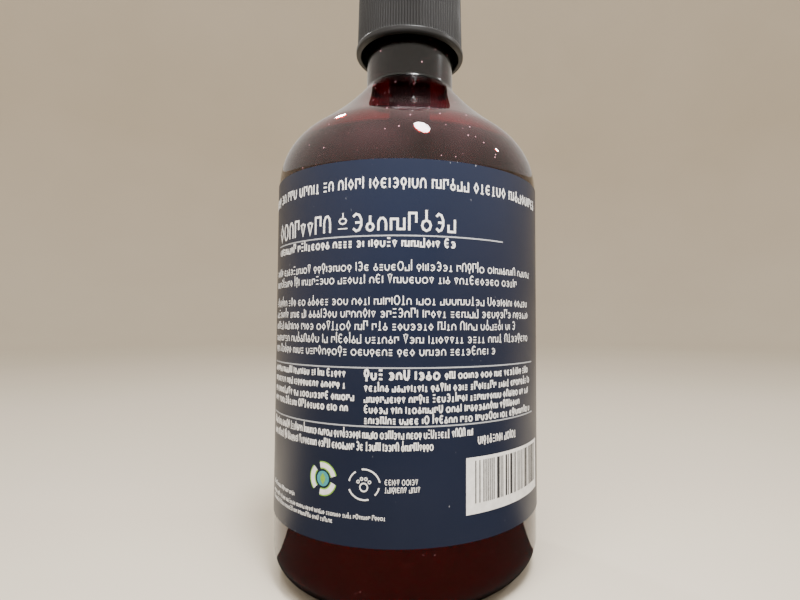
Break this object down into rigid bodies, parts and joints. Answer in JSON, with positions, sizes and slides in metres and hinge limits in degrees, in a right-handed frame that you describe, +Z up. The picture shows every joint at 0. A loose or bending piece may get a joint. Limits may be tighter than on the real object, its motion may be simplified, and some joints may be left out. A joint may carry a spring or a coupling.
{
  "type": "shampoo bottle",
  "caption": "Round translucent bottle of pet shampoo with a wrap-around label and a screw-on lotion pump with a ribbed collar.",
  "frame": {"origin": "centre of the bottle's standing ring, on the ground plane", "axes": "+Z up along the bottle's axis, +Y towards the pump's nozzle and the label's front panel, -Y out of the label's printed back panel, -X out of the label's seam"},
  "size_m": [0.0754, 0.0754, 0.2025],
  "materials": {
    "red_pet": "clear dark red-amber PET, polished",
    "label_film": "satin navy printed film",
    "shampoo": "thick amber liquid",
    "collar_plastic": "black polypropylene with fine upright ribs",
    "gasket_foam": "soft white foam liner",
    "housing_plastic": "black polypropylene",
    "pump_plastic": "milky natural polypropylene",
    "chaplet_plastic": "smooth black polypropylene",
    "tube_plastic": "clear soft polyethylene tube",
    "steel": "bright stainless steel"
  },
  "bodies": {
    "bottle": {"bottle": "red_pet", "label": "label_film", "shampoo": "shampoo"},
    "pump": {"housing": "housing_plastic", "gasket": "gasket_foam", "chaplet": "chaplet_plastic", "dip_tube": "tube_plastic", "spring": "steel"},
    "collar": {"collar": "collar_plastic"},
    "plunger": {"piston": "pump_plastic"},
    "head": {"actuator": "chaplet_plastic", "stem": "chaplet_plastic", "piston_rod": "pump_plastic"},
    "inlet_valve": {"inlet_ball": "steel"},
    "outlet_valve": {"outlet_ball": "steel"}
  },
  "joints": [
    {"name": "pump_rise", "type": "slide", "parent": "bottle", "child": "pump", "axis": [0, 0, 1], "range_m": [0, 0.00634]},
    {"name": "collar_turn", "type": "hinge", "parent": "pump", "child": "collar", "pos_m": [0, 0, 0.16], "axis": [0, 0, 1], "range_deg": [0, 540]},
    {"name": "head_press", "type": "slide", "parent": "pump", "child": "plunger", "axis": [0, 0, 1], "range_m": [-0.014, 0], "stiffness_N_per_m": 350, "springref_m": 0.01, "deforming": ["spring"]},
    {"name": "head_turn", "type": "hinge", "parent": "plunger", "child": "head", "pos_m": [0, 0, 0.19], "axis": [0, 0, 1], "continuous": true},
    {"name": "inlet_lift", "type": "slide", "parent": "pump", "child": "inlet_valve", "axis": [0, 0, 1], "range_m": [0, 0.0012]},
    {"name": "outlet_lift", "type": "slide", "parent": "head", "child": "outlet_valve", "axis": [0, 0, 1], "range_m": [0, 0.0012]}
  ],
  "couplings": [
    {"joint": "collar_turn", "follows": "pump_rise", "rad_per_m": 1484.3}
  ]
}
